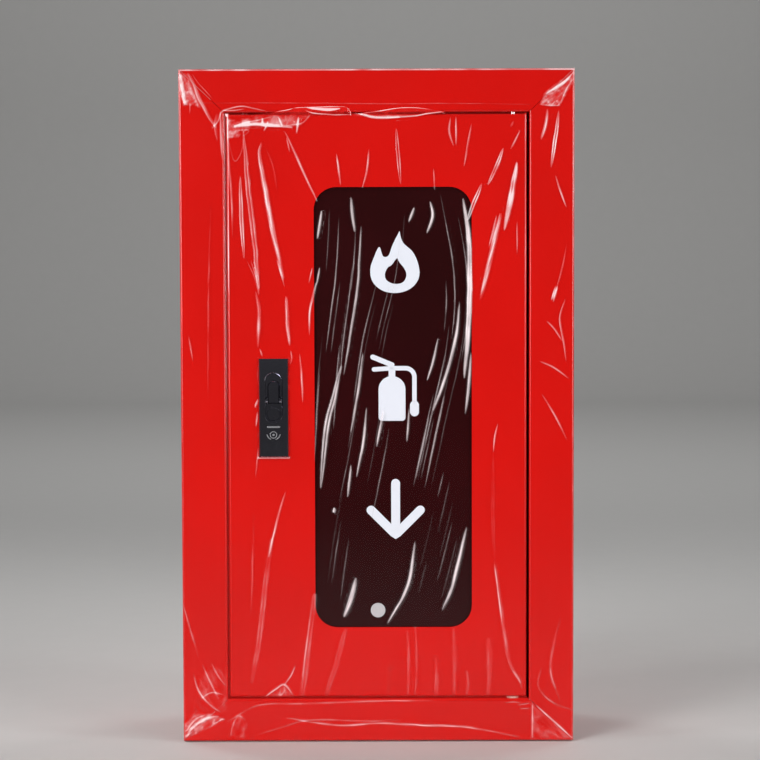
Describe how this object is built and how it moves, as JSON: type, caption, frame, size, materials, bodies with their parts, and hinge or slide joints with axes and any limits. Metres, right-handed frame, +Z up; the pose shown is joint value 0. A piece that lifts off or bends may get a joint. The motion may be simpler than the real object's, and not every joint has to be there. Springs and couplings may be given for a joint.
{
  "type": "recessed fire extinguisher cabinet",
  "caption": "Recessed sheet steel cabinet for a fire extinguisher, with a mitred wall frame, a hinged door with a tall window, and a flush lever lock.",
  "frame": {"origin": "middle of the outside of the back, which lies on the wall inside the niche", "axes": "+X to the right seen from the room, +Y into the wall, +Z up; the door faces -Y"},
  "size_m": [0.35, 0.1533, 0.6],
  "materials": {
    "red_paint": "glossy powder coat",
    "case_paint": "powder coat, less glossy",
    "zinc_steel": "bright zinc plate",
    "bright_steel": "ground",
    "nylon": "moulded",
    "seal_rubber": "cut foam rubber",
    "smoked_acrylic": "polished sheet",
    "pale_plastic": "satin",
    "black_chrome": "dark bright plating on zinc"
  },
  "bodies": {
    "case": {"frame_top": "red_paint", "frame_bottom": "red_paint", "frame_left": "red_paint", "frame_right": "red_paint", "case_top": "case_paint", "case_bottom": "case_paint", "case_left": "case_paint", "case_right": "case_paint", "case_back": "case_paint", "strike_bracket": "case_paint", "hinge_pin_top": "bright_steel", "hinge_pin_bottom": "bright_steel", "thrust_washer": "nylon"},
    "door": {"door_leaf": "red_paint", "hinge_bush_top": "nylon", "hinge_bush_bottom": "nylon", "window_seal": "seal_rubber", "window_pane": "smoked_acrylic", "marker_disc": "pale_plastic", "pane_clips": "zinc_steel", "pane_studs": "zinc_steel", "pane_nuts": "zinc_steel", "lock_body": "black_chrome", "lock_clamp": "zinc_steel", "lock_screws": "zinc_steel", "lever_pin": "black_chrome"},
    "lever": {"push_lever": "black_chrome"},
    "key": {"key_cylinder": "black_chrome", "lock_cam": "zinc_steel", "cam_nut": "zinc_steel"}
  },
  "joints": [
    {"name": "door_hinge", "type": "hinge", "parent": "case", "child": "door", "pos_m": [0.1208, -0.1435, 0], "axis": [0, 0, 1], "range_deg": [0, 110]},
    {"name": "lever_hinge", "type": "hinge", "parent": "door", "child": "lever", "pos_m": [-0.0925, -0.1475, 0.0065], "axis": [1, 0, 0], "range_deg": [0, 25], "stiffness_Nm_per_rad": 0.1, "springref_deg": -17.19},
    {"name": "key_turn", "type": "hinge", "parent": "door", "child": "key", "pos_m": [-0.0925, -0.15, -0.0054], "axis": [0, 1, 0], "range_deg": [0, 90]}
  ]
}
